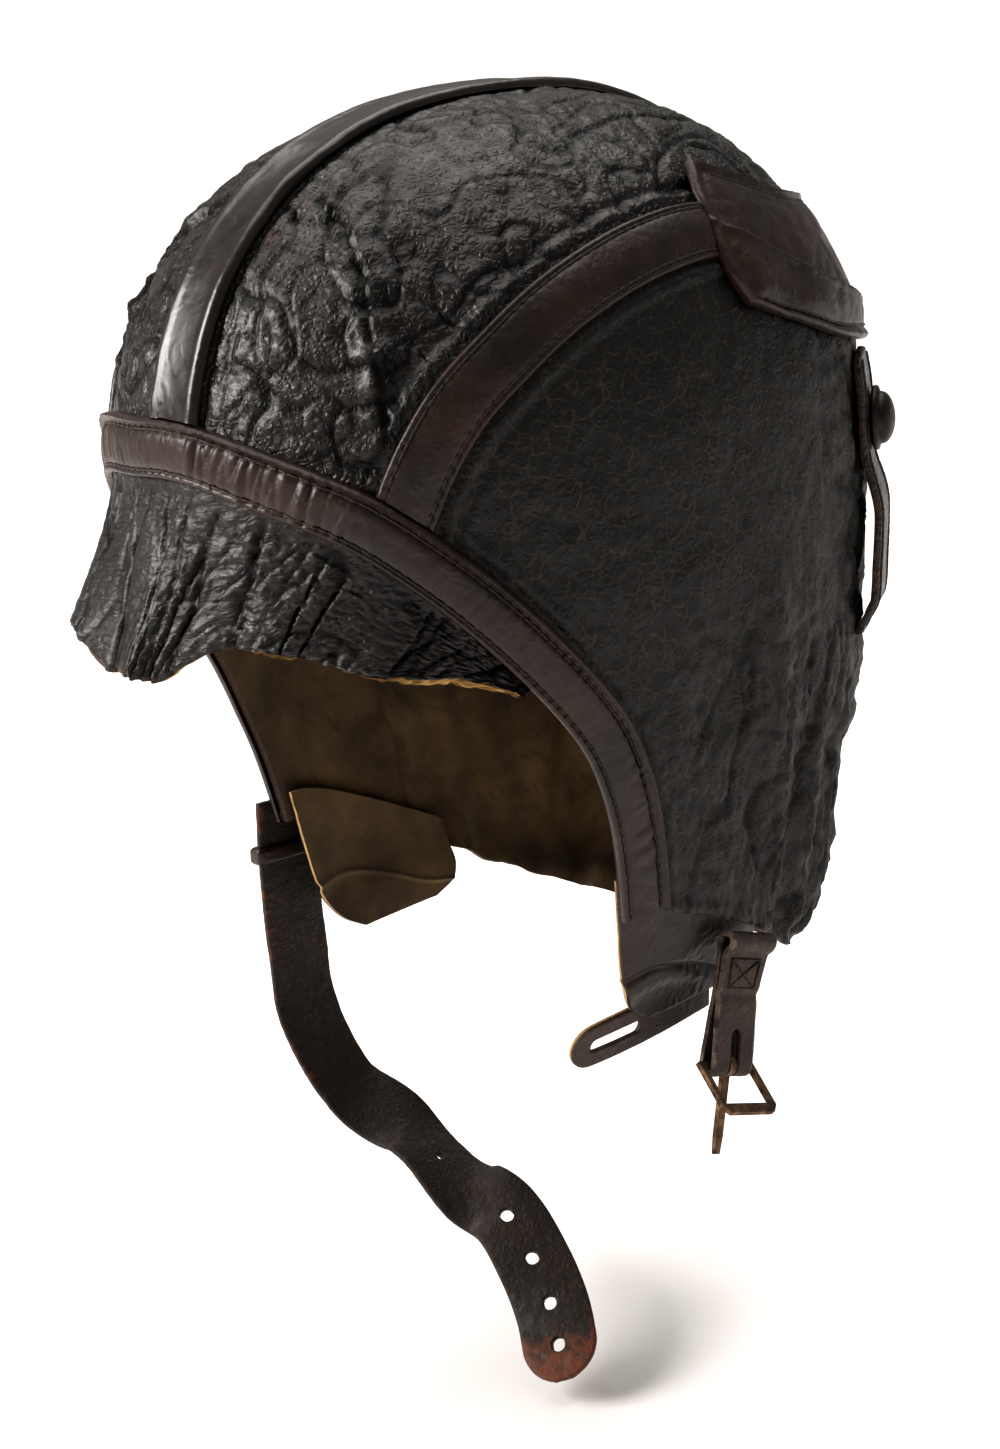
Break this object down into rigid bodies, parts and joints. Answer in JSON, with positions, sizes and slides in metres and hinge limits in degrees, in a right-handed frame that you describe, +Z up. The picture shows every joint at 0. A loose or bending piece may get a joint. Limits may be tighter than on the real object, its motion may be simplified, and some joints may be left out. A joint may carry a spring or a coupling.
{
  "type": "leather flying helmet",
  "caption": "Soft leather flying helmet with a short brow flap, sewn bands, goggle straps and a chin strap with a buckle on the other side.",
  "frame": {"origin": "inside of the crown's top, where the wearer's head carries the helmet", "axes": "+Z up, the wearer looks along -Y, the wearer's left side is +X"},
  "size_m": [0.1634, 0.2302, 0.3388],
  "materials": {
    "leather_dark": "crackled, glossy on its ridges",
    "leather_brown": "smooth, worn satin",
    "leather_tab": "matt, worn",
    "chamois": "napped",
    "suede": "napped, worn at its end",
    "rusty_brass": "rusty and dull",
    "black_metal": "satin, worn"
  },
  "bodies": {
    "helmet": {"crown_panel_left": "leather_dark", "crown_panel_right": "leather_dark", "side_panel_left": "leather_dark", "side_panel_right": "leather_dark", "brow_flap": "leather_dark", "goggle_strap_left": "leather_dark", "goggle_strap_right": "leather_dark", "centre_strip": "leather_brown", "arch_band_left": "leather_brown", "arch_band_right": "leather_brown", "face_band": "leather_brown", "rear_patch": "leather_brown", "chin_flap_left": "leather_brown", "chin_flap_right": "leather_brown", "strap_keeper": "leather_brown", "buckle_tab": "leather_tab", "brow_lining": "chamois", "slotted_tab": "chamois", "chin_strap": "suede", "goggle_snap_left": "black_metal", "goggle_snap_right": "black_metal", "strap_rivet": "black_metal"},
    "buckle_frame": {"buckle_frame": "rusty_brass"},
    "buckle_prong": {"buckle_prong": "rusty_brass"}
  },
  "joints": [
    {"name": "buckle_frame_turn", "type": "hinge", "parent": "helmet", "child": "buckle_frame", "pos_m": [0.06757, -0.003, -0.2455], "axis": [0, -0.9336, 0.3584], "range_deg": [-22, 70]},
    {"name": "buckle_prong_turn", "type": "hinge", "parent": "helmet", "child": "buckle_prong", "pos_m": [0.06757, -0.003, -0.2455], "axis": [0, -0.9336, 0.3584], "range_deg": [-30, 10]}
  ]
}
